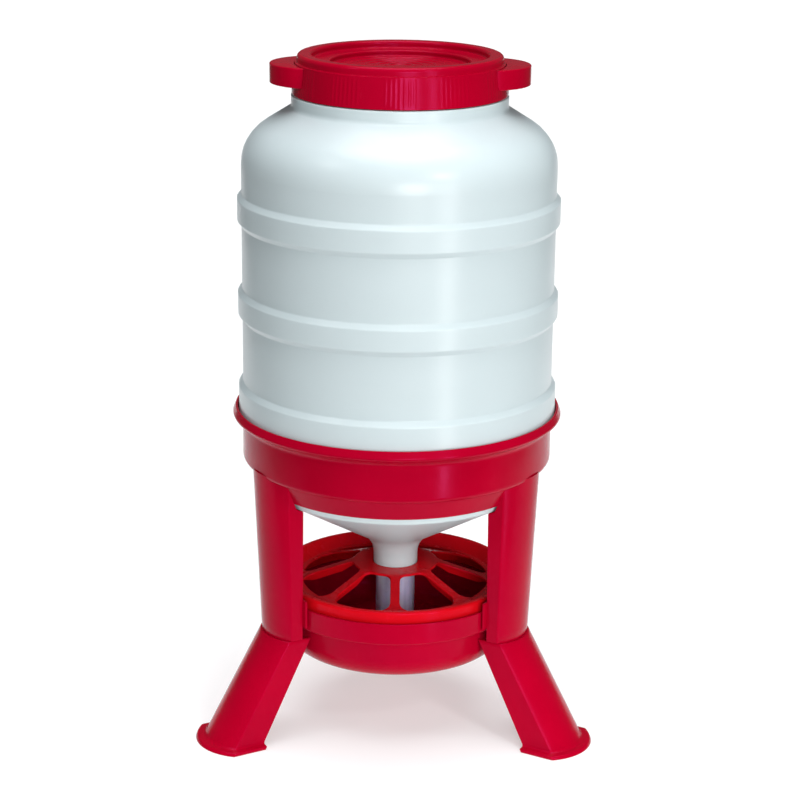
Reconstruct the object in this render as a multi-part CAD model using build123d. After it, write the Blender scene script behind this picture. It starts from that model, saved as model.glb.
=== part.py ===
from build123d import *
import os
from math import asin, cos, degrees, hypot, radians, sin, sqrt, tan

# Poultry hopper feeder: a drum with a screw lid, in a ring on three legs, over a pan with a grille.
#
# Millimetres, +Z up. The origin is on the floor, on the drum's axis. The front is -Y, and the three
# legs stand 120 degrees apart with one at the rear. Profiles of round parts are lists of corners
# (radius, height, fillet radius), run so that the wall's hidden side is on the left.

# Placing of cylinders and boxes with their base at z = 0
STANDING = (Align.CENTER, Align.CENTER, Align.MIN)

# Legs, by their direction in degrees from +X
LEG_ANGLES = {"left": 210, "right": -30, "rear": 90}

# Drum
DRUM_R = 195.0
DRUM_WALL = 2.6
DRUM_NEST_R = 192.4
BAND_R = 200.3
BAND_EDGE = 6.5
BAND_FILLET = 3.0
RAISED_BANDS = [(530.0, 569.0), (648.0, 688.0)]
LOW_BAND_TOP = 450.0
NEST_TOP = 402.0
SHOULDER_R = 93.5
SHOULDER_CORNER_Z = 755.3
SHOULDER_SLOPE = 32.0
BEAD_R = 133.0
BEAD_TOP = 809.2
BEAD_FILLETS = (6.0, 2.0)
CONE_SLOPE = 29.7
CONE_APEX_Z = 214.7
SPOUT_R = 28.0
SPOUT_BOTTOM = 190.0
SPOUT_FLARE_R = 32.0
NECK_R = 121.5
NECK_TOP = 850.5
SEAT_GAP = 0.4
SEAT_FILLETS = (6.0, 12.0)

# Screw thread of the neck and the lid
THREAD_PITCH = 10.0
THREAD_START_Z = 822.0
NECK_THREAD_TURNS = 1.25
LID_THREAD_TURNS = 1.0
THREAD_ROOT_WIDTH = 4.6
THREAD_CREST_WIDTH = 2.4
NECK_THREAD_CREST_R = 125.0
LID_THREAD_CREST_R = 122.3
LID_THREAD_ROOT_R = 129.0
THREAD_AXIAL_SHIFT = 3.8
LID_THREAD_FIRST_TURN = 0.1
THREAD_SUNK = 1.0

# Lid
LID_WALL = 2.6
LID_BOTTOM = 810.4
LID_BOTTOM_R = 132.5
LID_STEP_Z = 848.0
LID_STEP_R = 128.5
LID_RIM_R = 126.0
LID_TOP = 858.5
LID_WELL_R = 108.0
LID_LEDGE_Z = 850.0
LID_DISC_R = 85.0
LID_DISC_Z = 843.0
LID_RINGS = [(66.0, 70.0), (44.0, 48.0), (20.0, 24.0)]
LID_RING_HEIGHT = 1.0
LID_RING_FILLET = 0.7
LID_STEP_LEDGE = 0.6
LID_RIM_FILLETS = (8.0, 4.5)
LID_WELL_FILLET = 2.5
EAR_R = 60.0
EAR_CENTRE = 99.5
EAR_BOTTOM = 822.5
EAR_TOP = 846.5
EAR_WALL = 3.0
EAR_FILLET = 1.5
GASKET_RADII = (112.6, 121.0)
GASKET_GAP = 0.3
GASKET_THICKNESS = 3.2
GASKET_FILLET = 0.6

# Collar ring
COLLAR_WALL = 3.2
COLLAR_OUTLINE = [
    (174.2, 318.5, 0),
    (184.5, 344.0, 1.5),
    (195.8, 346.5, 10),
    (195.8, 396.5, 7),
    (208.8, 405.5, 3.5),
    (204.4, 416.0, 0),
]
COLLAR_BOSS_A = 180.0
COLLAR_BOSS_BOTTOM = 308.0
COLLAR_BOSS_TOP = 339.0

# Legs: a section is an arc about a centre (distance from the axis), and two flanks
LEG_ARC_R = 56.0
LEG_WALL = 3.0
LEG_BACK_A = 156.5
PAST_BACK = 8.0
UNDER_DRUM_GAP = 1.0
UPRIGHT_BOTTOM = 134.5
UPRIGHT_TOP = 352.0
UPRIGHT_CENTRES = (131.4, 142.0)
UPRIGHT_HALF_WIDTHS = (39.2, 43.3)
UPRIGHT_LOW_WEB = (144.5, 148.5)
UPRIGHT_HIGH_WEB = (304.0, 308.0)
FOOT_TOP = 134.5
FOOT_CENTRES = (216.0, 133.6)
FOOT_HALF_WIDTHS = (40.0, 38.4)
FOOT_BACKS = (215.0, 144.5)
FOOT_WALL = 3.5
FOOT_PLATE = 4.0
FOOT_RIM_WIDTH = 10.0
FOOT_RIM_HEIGHT = 4.5
TONGUE_TOP = 144.1
TONGUE_INSET = 3.4
TONGUE_WALL = 2.8
TONGUE_BACK_A = 160.0

# Bosses and screws
SCREW_R = 2.5
SCREW_HOLE_R = 2.8
SCREW_HEAD_R = 4.7
SCREW_HEAD_HEIGHT = 3.4
SCREW_LENGTH = 18.0
BOSS_R = 6.5
BOSS_B = 18.0
FOOT_BOSS_A = 169.5
FOOT_BOSS_TOP = 157.0
PAN_BOSS_R = 5.5
PAN_BOSS_B = 28.0
PAN_BOSS_Z = 172.5
PAN_SCREW_LENGTH = 16.0
SCREW_TIP_GAP = 1.0
SCREW_HEAD_FILLET = 1.4
RECESS_DEPTH = 1.8
RECESS_WIDTH = 1.1
RECESS_SPAN = 5.2
COUNTERSINK_DEPTH = 2.5

# Pan
PAN_WALL = 3.0
PAN_OUTLINE = [
    (0.0, 112.0, 0),
    (9.0, 112.0, 5),
    (40.0, 93.0, 12),
    (144.5, 93.0, 38),
    (148.5, 147.5, 1.5),
    (158.0, 147.5, 2),
    (158.0, 175.0, 0),
]
LUG_HALF_WIDTH = 47.5
LUG_THICKNESS = 3.3
LUG_BOTTOM = 152.5
LUG_TOP = 188.0
FOOT_TO_PAN_R = 149.5

# Grille
GRILLE_WALL = 3.0
GRILLE_OUTLINE = [
    (151.6, 151.0, 0),
    (151.6, 188.5, 3.5),
    (144.0, 188.5, 4),
    (127.0, 176.5, 6),
    (55.0, 201.0, 10),
    (29.2, 201.0, 0),
]
SPOKE_COUNT = 8
SPOKE_WIDTH = 12.0
OPENING_RADII = (55.0, 120.5)
OPENING_CORNERS = (8.5, 9.5)
OPENING_ZONE = (158.0, 215.0)
SPOKE_RIB_WIDTH = 2.4
SPOKE_RIB_DEPTH = 9.0
SPOKE_RIB_RADII = (47.0, 127.0)

# Feed tube
TUBE_R = 25.3
TUBE_WALL = 1.9
TUBE_BOTTOM = 126.0
TUBE_TOP = 226.0
TUBE_FOOT_R = 0.8


# ---------------------------------------------------------------- profile helpers

def meet(p, u, q, v):
    """Point where the line through p along u crosses the line through q along v."""
    cross = u[0] * v[1] - u[1] * v[0]
    t = ((q[0] - p[0]) * v[1] - (q[1] - p[1]) * v[0]) / cross
    return p[0] + t * u[0], p[1] + t * u[1]


def inset(path, wall):
    """Corners of the same open path, moved by wall to its left, with concentric fillets."""
    runs = []
    for (r0, z0, _), (r1, z1, _) in zip(path, path[1:]):
        length = hypot(r1 - r0, z1 - z0)
        along = ((r1 - r0) / length, (z1 - z0) / length)
        side = (-along[1] * wall, along[0] * wall)
        runs.append(((r0 + side[0], z0 + side[1]), (r1 + side[0], z1 + side[1]), along))
    corners = [(*runs[0][0], 0)]
    for before, after, (_, _, fillet_r) in zip(runs, runs[1:], path[1:]):
        u, v = before[2], after[2]
        left_turn = u[0] * v[1] - u[1] * v[0] > 0
        radius = fillet_r - wall if left_turn else fillet_r + wall
        corners.append((*meet(before[0], u, after[0], v), max(radius, 0)))
    corners.append((*runs[-1][1], 0))
    return corners


def lathe(corners):
    """Solid turned about Z from a closed outline of corners."""
    points = [(r, z) for r, z, _ in corners]
    radii = [f for _, _, f in corners]
    face = make_face(FilletPolyline(*points, radius=radii, close=True))
    return revolve(Plane.XZ * face, Axis.Z)


def turned_shell(path, wall):
    """Turned wall between an open path and the same path moved to its left."""
    return lathe(path + inset(path, wall)[::-1])


def post(a, b, z_low, z_high, radius):
    """Upright cylinder of a leg, at distance a from the axis and b to its side."""
    return Pos(a, b, z_low) * Cylinder(radius, z_high - z_low, align=STANDING)


def bar_out(a_low, a_high, b, z, radius):
    """Cylinder that runs outwards along a leg's direction."""
    bar = Cylinder(radius, a_high - a_low, align=STANDING)
    return Pos(a_low, b, z) * Rot(Y=90) * bar


def block(a, b, z):
    """Box between the given limits along each direction."""
    size = [high - low for low, high in (a, b, z)]
    return Pos(a[0], b[0], z[0]) * Box(*size, align=(Align.MIN, Align.MIN, Align.MIN))


def round_leg(shape, name):
    """Turn a shape made along +X to the leg of that name."""
    return Rot(Z=LEG_ANGLES[name]) * shape


# ---------------------------------------------------------------- drum and lid

def cone_z(radius):
    """Height of the drum's conical bottom at a radius."""
    return CONE_APEX_Z + radius * tan(radians(CONE_SLOPE))


def raised_band(low, high):
    """Corners of one raised band round the drum."""
    return [
        (DRUM_R, low, BAND_FILLET),
        (BAND_R, low + BAND_EDGE, BAND_FILLET),
        (BAND_R, high - BAND_EDGE, BAND_FILLET),
        (DRUM_R, high, BAND_FILLET),
    ]


def drum_outline():
    """Outer path of the drum, from the spout's end up to the neck's lip."""
    seat = inset(COLLAR_OUTLINE, COLLAR_WALL + SEAT_GAP)
    seat_run = (seat[1][0] - seat[0][0], seat[1][1] - seat[0][1])
    cone_run = (1, tan(radians(CONE_SLOPE)))
    seat_low = meet(seat[0], seat_run, (0, CONE_APEX_Z), cone_run)
    seat_high = meet(seat[0], seat_run, (DRUM_NEST_R, 0), (0, 1))
    shoulder_drop = (DRUM_R - BEAD_R) * tan(radians(SHOULDER_SLOPE))
    path = [
        (SPOUT_R, SPOUT_BOTTOM, 0),
        (SPOUT_R, cone_z(SPOUT_R), SPOUT_FLARE_R),
        (*seat_low, SEAT_FILLETS[0]),
        (*seat_high, SEAT_FILLETS[1]),
        (DRUM_NEST_R, NEST_TOP, BAND_FILLET),
        (BAND_R, NEST_TOP + BAND_R - DRUM_NEST_R, BAND_FILLET),
        (BAND_R, LOW_BAND_TOP - BAND_EDGE, BAND_FILLET),
        (DRUM_R, LOW_BAND_TOP, BAND_FILLET),
    ]
    for low, high in RAISED_BANDS:
        path += raised_band(low, high)
    return path + [
        (DRUM_R, SHOULDER_CORNER_Z, SHOULDER_R),
        (BEAD_R, SHOULDER_CORNER_Z + shoulder_drop, BEAD_FILLETS[0]),
        (BEAD_R, BEAD_TOP, BEAD_FILLETS[1]),
        (NECK_R, BEAD_TOP, BEAD_FILLETS[1]),
        (NECK_R, NECK_TOP, 0),
    ]


def thread_ridge(root_r, crest_r, z_start, turns, first_turn):
    """One right-hand ridge that climbs round the axis, from root_r to crest_r."""
    half_root = THREAD_ROOT_WIDTH / 2
    half_crest = THREAD_CREST_WIDTH / 2
    outline = Polyline(
        (root_r, -half_root),
        (crest_r, -half_crest),
        (crest_r, half_crest),
        (root_r, half_root),
        close=True,
    )
    path = Helix(THREAD_PITCH, THREAD_PITCH * turns, root_r)
    ridge = sweep(Plane.XZ * make_face(outline), path=path, is_frenet=True)
    return Pos(0, 0, z_start + THREAD_PITCH * first_turn) * Rot(Z=360 * first_turn) * ridge


def make_hopper():
    """Blow-moulded drum: cone and spout below, raised bands, shoulder, threaded neck."""
    ridge = thread_ridge(
        NECK_R - THREAD_SUNK, NECK_THREAD_CREST_R, THREAD_START_Z, NECK_THREAD_TURNS, 0
    )
    return turned_shell(drum_outline(), DRUM_WALL) + ridge


def lid_outline():
    """Outer path of the lid, from the skirt's edge over the rim to the sunk centre."""
    return [
        (LID_BOTTOM_R, LID_BOTTOM, 0),
        (LID_STEP_R, LID_STEP_Z, LID_STEP_LEDGE),
        (LID_RIM_R, LID_STEP_Z + LID_STEP_LEDGE, LID_STEP_LEDGE),
        (LID_RIM_R, LID_TOP, LID_RIM_FILLETS[0]),
        (LID_WELL_R, LID_TOP, LID_RIM_FILLETS[1]),
        (LID_WELL_R, LID_LEDGE_Z, LID_WELL_FILLET),
        (LID_DISC_R, LID_LEDGE_Z, LID_WELL_FILLET),
        (LID_DISC_R, LID_DISC_Z, LID_WELL_FILLET),
        (0, LID_DISC_Z, 0),
    ]


def lid_ear(side):
    """Hollow grip ear on one side of the lid, open below."""
    centre = Pos(side * EAR_CENTRE, 0, EAR_BOTTOM)
    outside = Cylinder(EAR_R, EAR_TOP - EAR_BOTTOM, align=STANDING)
    outside = fillet(outside.edges().group_by(Axis.Z)[-1], EAR_FILLET)
    inside = Cylinder(EAR_R - EAR_WALL, EAR_TOP - EAR_BOTTOM - EAR_WALL, align=STANDING)
    return centre * (outside - inside)


def make_lid():
    """Screw lid with a sunk centre, a thread inside the skirt and two ears."""
    outline = lid_outline()
    body = turned_shell(outline, LID_WALL)
    envelope = [
        (0, LID_BOTTOM, 0),
        (LID_BOTTOM_R, LID_BOTTOM, 0),
        (LID_STEP_R, LID_STEP_Z, 0),
        (0, LID_STEP_Z, 0),
    ]
    inside_band = lathe(envelope)
    for low, high in LID_RINGS:
        ring = [
            (low, LID_DISC_Z - LID_RING_HEIGHT, 0),
            (high, LID_DISC_Z - LID_RING_HEIGHT, 0),
            (high, LID_DISC_Z + LID_RING_HEIGHT, LID_RING_FILLET),
            (low, LID_DISC_Z + LID_RING_HEIGHT, LID_RING_FILLET),
        ]
        body += lathe(ring)
    for side in (-1, 1):
        body += lid_ear(side) - inside_band
    shift = THREAD_START_Z - THREAD_AXIAL_SHIFT
    ridge = thread_ridge(
        LID_THREAD_ROOT_R, LID_THREAD_CREST_R, shift, LID_THREAD_TURNS, LID_THREAD_FIRST_TURN
    )
    return body + ridge


def make_lid_gasket():
    """Flat seal ring between the neck's lip and the inside of the rim."""
    low, high = GASKET_RADII
    bottom = NECK_TOP + GASKET_GAP
    top = bottom + GASKET_THICKNESS
    corners = [(low, bottom), (high, bottom), (high, top), (low, top)]
    return lathe([(r, z, GASKET_FILLET) for r, z in corners])


# ---------------------------------------------------------------- collar

def make_collar_ring():
    """Ring with a rolled lip; its conical skirt carries the drum."""
    bottom, top = COLLAR_OUTLINE[0][1], COLLAR_OUTLINE[-1][1]
    inside = lathe(inset(COLLAR_OUTLINE, COLLAR_WALL) + [(0, top, 0), (0, bottom, 0)])
    ring = turned_shell(COLLAR_OUTLINE, COLLAR_WALL)
    for name in LEG_ANGLES:
        for side in (-1, 1):
            boss = post(COLLAR_BOSS_A, side * BOSS_B, COLLAR_BOSS_BOTTOM, COLLAR_BOSS_TOP, BOSS_R)
            ring += round_leg(boss, name) - inside
    bore_top = COLLAR_BOSS_BOTTOM + SCREW_LENGTH
    for name in LEG_ANGLES:
        for side in (-1, 1):
            bore = post(COLLAR_BOSS_A, side * BOSS_B, COLLAR_BOSS_BOTTOM, bore_top, SCREW_R)
            ring -= round_leg(bore, name)
    return ring


# ---------------------------------------------------------------- legs

def leg_section(z, centre, half_width, back, grow):
    """Filled section of a leg at a height, drawn grow inside the outer faces."""
    arc_r = LEG_ARC_R - grow
    half = half_width - grow
    flank = centre + sqrt(arc_r**2 - half**2)
    outline = [
        Line((back, -half), (flank, -half)),
        ThreePointArc((flank, -half), (centre + arc_r, 0), (flank, half)),
        Line((flank, half), (back, half)),
        Line((back, half), (back, -half)),
    ]
    return Pos(0, 0, z) * make_face(outline)


def blend(pair_of_values, share):
    """Value at a share of the way between two ends."""
    return pair_of_values[0] + share * (pair_of_values[1] - pair_of_values[0])


def upright_fill(z_low, z_high, back, grow):
    """Filled stretch of an upright between two heights."""
    faces = []
    for z in (z_low, z_high):
        share = (z - UPRIGHT_BOTTOM) / (UPRIGHT_TOP - UPRIGHT_BOTTOM)
        centre = blend(UPRIGHT_CENTRES, share)
        half_width = blend(UPRIGHT_HALF_WIDTHS, share)
        faces.append(leg_section(z, centre, half_width, back, grow))
    return loft(faces, ruled=True)


def under_drum():
    """Space that the drum's cone and the ring take from the uprights."""
    gap = UNDER_DRUM_GAP
    reach = COLLAR_OUTLINE[0][0] - COLLAR_WALL
    roof = COLLAR_OUTLINE[-1][1]
    tip = (0, cone_z(0) - gap, 0)
    brim = (reach, cone_z(reach) - gap, 0)
    cone = lathe([tip, brim, (reach, roof, 0), (0, roof, 0)])
    ring = lathe(COLLAR_OUTLINE + [(0, roof, 0), (0, COLLAR_OUTLINE[0][1], 0)])
    return cone + ring


def make_upright():
    """Channel that stands on a foot and carries the ring, with webs and screw bosses."""
    fill = upright_fill(UPRIGHT_BOTTOM, UPRIGHT_TOP, LEG_BACK_A, 0)
    hollow = upright_fill(UPRIGHT_BOTTOM, UPRIGHT_TOP, LEG_BACK_A - PAST_BACK, LEG_WALL)
    body = fill - hollow
    for low, high in (UPRIGHT_LOW_WEB, UPRIGHT_HIGH_WEB):
        body += upright_fill(low, high, LEG_BACK_A, LEG_WALL / 2)
    for side in (-1, 1):
        standing = post(FOOT_BOSS_A, side * BOSS_B, UPRIGHT_BOTTOM, FOOT_BOSS_TOP, BOSS_R)
        lying = bar_out(LEG_BACK_A, LEG_BACK_A + LEG_ARC_R, side * PAN_BOSS_B, PAN_BOSS_Z, PAN_BOSS_R)
        body += standing & fill
        body += lying & fill
    for side in (-1, 1):
        body -= post(FOOT_BOSS_A, side * BOSS_B, UPRIGHT_BOTTOM, UPRIGHT_BOTTOM + SCREW_LENGTH, SCREW_R)
        pan_bore_end = LEG_BACK_A + PAN_SCREW_LENGTH
        body -= bar_out(LEG_BACK_A, pan_bore_end, side * PAN_BOSS_B, PAN_BOSS_Z, SCREW_R)
        body -= post(COLLAR_BOSS_A, side * BOSS_B, *UPRIGHT_HIGH_WEB, SCREW_HOLE_R)
    return body - under_drum()


def foot_fill(z_low, z_high, past_back, grow):
    """Filled stretch of a splayed foot between two heights."""
    faces = []
    for z in (z_low, z_high):
        share = z / FOOT_TOP
        centre = blend(FOOT_CENTRES, share)
        half_width = blend(FOOT_HALF_WIDTHS, share)
        back = blend(FOOT_BACKS, share) - past_back
        faces.append(leg_section(z, centre, half_width, back, grow))
    return loft(faces, ruled=True)


def foot_rim():
    """Flange round three sides of a foot at the floor."""
    centre, half_width, back = FOOT_CENTRES[0], FOOT_HALF_WIDTHS[0], FOOT_BACKS[0]
    plate = extrude(leg_section(0, centre, half_width, back, -FOOT_RIM_WIDTH), FOOT_RIM_HEIGHT)
    opening = leg_section(0, centre, half_width, back - PAST_BACK, FOOT_WALL)
    return plate - extrude(opening, FOOT_RIM_HEIGHT)


def make_foot():
    """Splayed channel with a rim at the floor, and a plate and tongue that hold the upright."""
    body = foot_fill(0, FOOT_TOP, 0, 0)
    body -= foot_fill(0, FOOT_TOP - FOOT_PLATE, PAST_BACK, FOOT_WALL)
    body += foot_rim()
    outer = upright_fill(FOOT_TOP, TONGUE_TOP, TONGUE_BACK_A, TONGUE_INSET)
    inner = upright_fill(FOOT_TOP, TONGUE_TOP, TONGUE_BACK_A - PAST_BACK, TONGUE_INSET + TONGUE_WALL)
    body += outer - inner
    for side in (-1, 1):
        body -= post(FOOT_BOSS_A, side * BOSS_B, FOOT_TOP - FOOT_PLATE, FOOT_TOP, SCREW_HOLE_R)
    around_pan = Cylinder(FOOT_TO_PAN_R, FOOT_TOP, align=STANDING)
    return body - around_pan


# ---------------------------------------------------------------- pan and grille

def pan_screw_hole(side):
    """Hole and countersunk seat of a pan screw, from the lug's inner face outwards."""
    inner_a = LEG_BACK_A - LUG_THICKNESS
    seat = Cone(SCREW_HEAD_R, SCREW_R, COUNTERSINK_DEPTH, align=STANDING)
    seat = Pos(inner_a, side * PAN_BOSS_B, PAN_BOSS_Z) * Rot(Y=90) * seat
    return seat + bar_out(inner_a, LEG_BACK_A, side * PAN_BOSS_B, PAN_BOSS_Z, SCREW_R)


def make_pan():
    """Trough with a raised centre, a broad band and a lug at each leg."""
    body = turned_shell(PAN_OUTLINE, PAN_WALL)
    inner_a = LEG_BACK_A - LUG_THICKNESS
    width = (-LUG_HALF_WIDTH, LUG_HALF_WIDTH)
    outer_r = PAN_OUTLINE[-1][0]
    beyond = block((LEG_BACK_A, outer_r + 1), width, (PAN_OUTLINE[4][1] - 1, LUG_TOP))
    lug = block((inner_a, LEG_BACK_A), width, (LUG_BOTTOM, LUG_TOP))
    for name in LEG_ANGLES:
        body = body - round_leg(beyond, name) + round_leg(lug, name)
        for side in (-1, 1):
            body -= round_leg(pan_screw_hole(side), name)
    return body


def grille_opening():
    """One rounded opening between two spokes, drawn along +X."""
    half_step = 180 / SPOKE_COUNT
    low_r, high_r = OPENING_RADII
    low = radians(half_step - degrees(asin(SPOKE_WIDTH / 2 / low_r)))
    high = radians(half_step - degrees(asin(SPOKE_WIDTH / 2 / high_r)))
    a = (low_r * cos(low), -low_r * sin(low))
    b = (high_r * cos(high), -high_r * sin(high))
    c = (b[0], -b[1])
    d = (a[0], -a[1])
    outer_arc = ThreePointArc(b, (high_r, 0), c)
    inner_arc = ThreePointArc(d, (low_r, 0), a)
    face = make_face([Line(a, b), outer_arc, Line(c, d), inner_arc])
    inner_corners = face.vertices().group_by(Axis.X)[0]
    face = fillet(inner_corners, OPENING_CORNERS[0])
    outer_corners = [v for v in face.vertices() if hypot(v.X, v.Y) > high_r - 1]
    return fillet(outer_corners, OPENING_CORNERS[1])


def make_grille():
    """Anti-waste grille: hub round the spout, eight spokes, rim with a deep skirt."""
    step = 360 / SPOKE_COUNT
    body = turned_shell(GRILLE_OUTLINE, GRILLE_WALL)
    opening = extrude(Pos(0, 0, OPENING_ZONE[0]) * grille_opening(), OPENING_ZONE[1] - OPENING_ZONE[0])
    for k in range(SPOKE_COUNT):
        body -= Rot(Z=step * (k + 0.5)) * opening
    under = [(r, z, 0) for r, z, _ in inset(GRILLE_OUTLINE, GRILLE_WALL)[3:]]
    lower = [(r, z - SPOKE_RIB_DEPTH, 0) for r, z, _ in under]
    rib_zone = lathe(under + lower[::-1])
    half = SPOKE_RIB_WIDTH / 2
    rib = block(SPOKE_RIB_RADII, (-half, half), OPENING_ZONE)
    for k in range(SPOKE_COUNT):
        body += (Rot(Z=step * k) * rib) & rib_zone
    return body


def make_feed_tube():
    """Tube that telescopes in the spout and sets the gap over the pan."""
    low = TUBE_R - TUBE_WALL
    corners = [
        (low, TUBE_BOTTOM, TUBE_FOOT_R),
        (TUBE_R, TUBE_BOTTOM, TUBE_FOOT_R),
        (TUBE_R, TUBE_TOP, TUBE_FOOT_R),
        (low, TUBE_TOP, TUBE_FOOT_R),
    ]
    return lathe(corners)


# ---------------------------------------------------------------- screws

def cross_recess():
    """Cross-shaped driver recess, from z = 0 upwards."""
    slot = Box(RECESS_SPAN, RECESS_WIDTH, RECESS_DEPTH, align=STANDING)
    return slot + Rot(Z=90) * slot


def pan_head_screw(grip):
    """Screw that points up, with its head's seat at z = 0 and grip before the boss."""
    head = Cylinder(SCREW_HEAD_R, SCREW_HEAD_HEIGHT, align=STANDING)
    head = fillet(head.edges().group_by(Axis.Z)[0], SCREW_HEAD_FILLET) - cross_recess()
    shank = Cylinder(SCREW_R, grip + SCREW_LENGTH - SCREW_TIP_GAP, align=STANDING)
    return Pos(0, 0, -SCREW_HEAD_HEIGHT) * head + shank


def countersunk_screw():
    """Screw of a pan lug, lying along +X with its flat head at the lug's inner face."""
    head = Cone(SCREW_HEAD_R, SCREW_R, COUNTERSINK_DEPTH, align=STANDING) - cross_recess()
    length = LUG_THICKNESS - COUNTERSINK_DEPTH + PAN_SCREW_LENGTH - SCREW_TIP_GAP
    shank = Pos(0, 0, COUNTERSINK_DEPTH) * Cylinder(SCREW_R, length, align=STANDING)
    return Rot(Y=90) * (head + shank)


def screw_set(screw, a, b, z):
    """Six copies of a screw: one on each side of each leg."""
    copies = []
    for name in LEG_ANGLES:
        for side in (-1, 1):
            copies.append(round_leg(Pos(a, side * b, z) * screw, name))
    return Compound(children=copies)


def make_collar_screws():
    grip = UPRIGHT_HIGH_WEB[1] - UPRIGHT_HIGH_WEB[0]
    return screw_set(pan_head_screw(grip), COLLAR_BOSS_A, BOSS_B, UPRIGHT_HIGH_WEB[0])


def make_foot_screws():
    return screw_set(pan_head_screw(FOOT_PLATE), FOOT_BOSS_A, BOSS_B, FOOT_TOP - FOOT_PLATE)


def make_pan_screws():
    return screw_set(countersunk_screw(), LEG_BACK_A - LUG_THICKNESS, PAN_BOSS_B, PAN_BOSS_Z)


# ---------------------------------------------------------------- all sub-parts

def build_parts():
    """Every sub-part in place, by name."""
    parts = {
        "lid": make_lid(),
        "lid_gasket": make_lid_gasket(),
        "hopper": make_hopper(),
        "feed_tube": make_feed_tube(),
        "collar_ring": make_collar_ring(),
        "pan": make_pan(),
        "grille": make_grille(),
        "collar_screws": make_collar_screws(),
        "foot_screws": make_foot_screws(),
        "pan_screws": make_pan_screws(),
    }
    upright, foot = make_upright(), make_foot()
    for name in LEG_ANGLES:
        parts[f"upright_{name}"] = round_leg(upright, name)
        parts[f"foot_{name}"] = round_leg(foot, name)
    return parts


os.makedirs("parts", exist_ok=True)
for node, shape in build_parts().items():
    export_step(shape, f"parts/{node}.step")
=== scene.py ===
from math import acos, asin, atan2, ceil, cos, degrees, exp, hypot, pi, radians, sin, sqrt, tan

import bmesh
import bpy
from mathutils import Matrix, Vector


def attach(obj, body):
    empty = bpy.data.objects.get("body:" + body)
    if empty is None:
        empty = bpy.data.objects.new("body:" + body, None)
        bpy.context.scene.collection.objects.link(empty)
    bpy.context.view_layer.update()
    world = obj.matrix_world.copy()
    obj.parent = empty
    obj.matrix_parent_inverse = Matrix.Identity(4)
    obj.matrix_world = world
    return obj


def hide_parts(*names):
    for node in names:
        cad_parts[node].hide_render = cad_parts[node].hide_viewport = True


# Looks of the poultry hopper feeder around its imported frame. Lengths are in millimetres until a
# mesh is made; outlines of turned parts are corners (radius, height, fillet radius).

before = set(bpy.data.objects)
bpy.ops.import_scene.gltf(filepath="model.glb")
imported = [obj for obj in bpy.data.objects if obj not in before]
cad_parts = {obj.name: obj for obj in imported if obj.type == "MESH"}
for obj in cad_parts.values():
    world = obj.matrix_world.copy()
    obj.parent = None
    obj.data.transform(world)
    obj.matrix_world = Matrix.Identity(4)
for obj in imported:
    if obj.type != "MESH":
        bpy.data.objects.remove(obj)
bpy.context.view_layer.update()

MM = 0.001
LEG_ANGLES = {"left": 210, "right": -30, "rear": 90}

# Fineness of the meshes: steps of a full turn, and steps of smaller arcs
BODY_STEPS = 288
GRIP_STEPS = 720
GASKET_STEPS = 160
TUBE_STEPS = 144
BOSS_STEPS = 32
THREAD_STEPS = 120
LEG_ARC_STEPS = 28
LEG_FILLET_STEPS = 6
LEG_SIDE_SHARES = (0, 0.03, 0.5, 0.97)
EDGE_STEPS = 5
FILLET_STEP = 11.0
FILLET_MIN_STEPS = 3
FILLET_MAX_SHARE = 0.49
FILLET_FLATTEST = 89.5
FILLET_LEAD = 0.5
FILLET_LEAD_SHARE = 0.3
SHARP_ANGLE = 38
MERGE_DISTANCE = 1e-6

# Limits for comparing numbers, and a length beyond every part
SAME_POINT = 1e-4
PARALLEL = 1e-12
TINY = 1e-9
FAR = 1000.0

# Drum
DRUM_R = 195.0
DRUM_WALL = 2.6
DRUM_NEST_R = 192.4
BAND_R = 200.3
BAND_EDGE = 6.5
BAND_FILLET = 3.0
RAISED_BANDS = [(530.0, 569.0), (648.0, 688.0)]
LOW_BAND_TOP = 450.0
NEST_TOP = 402.0
SHOULDER_R = 93.5
SHOULDER_CORNER_Z = 755.3
SHOULDER_SLOPE = 32.0
BEAD_R = 133.0
BEAD_TOP = 809.2
CONE_SLOPE = 29.7
CONE_APEX_Z = 214.7
SPOUT_R = 28.0
SPOUT_BOTTOM = 190.0
SPOUT_FLARE_R = 32.0
NECK_R = 121.5
NECK_TOP = 850.5
SEAT_GAP = 0.4
SEAT_FILLETS = (6, 12)
BEAD_FILLETS = (6, 2)
SEAM_HEIGHT = 0.35
SEAM_HALF_WIDTH = 0.9
SEAM_OFFSETS = (0.12, 0.24, 0.36, 0.5)
DRUM_LIP_EDGE = 0.8

# Screw thread of the neck and the lid
THREAD_PITCH = 10.0
THREAD_START_Z = 822.0
NECK_THREAD_TURNS = 1.25
LID_THREAD_TURNS = 1.0
THREAD_ROOT_WIDTH = 4.6
THREAD_CREST_WIDTH = 2.4
NECK_THREAD_CREST_R = 125.0
LID_THREAD_CREST_R = 122.3
LID_THREAD_ROOT_R = 129.0
THREAD_AXIAL_SHIFT = 3.8
LID_THREAD_FIRST_TURN = 0.1
THREAD_FADE = 0.12
THREAD_SINK = 0.5

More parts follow.
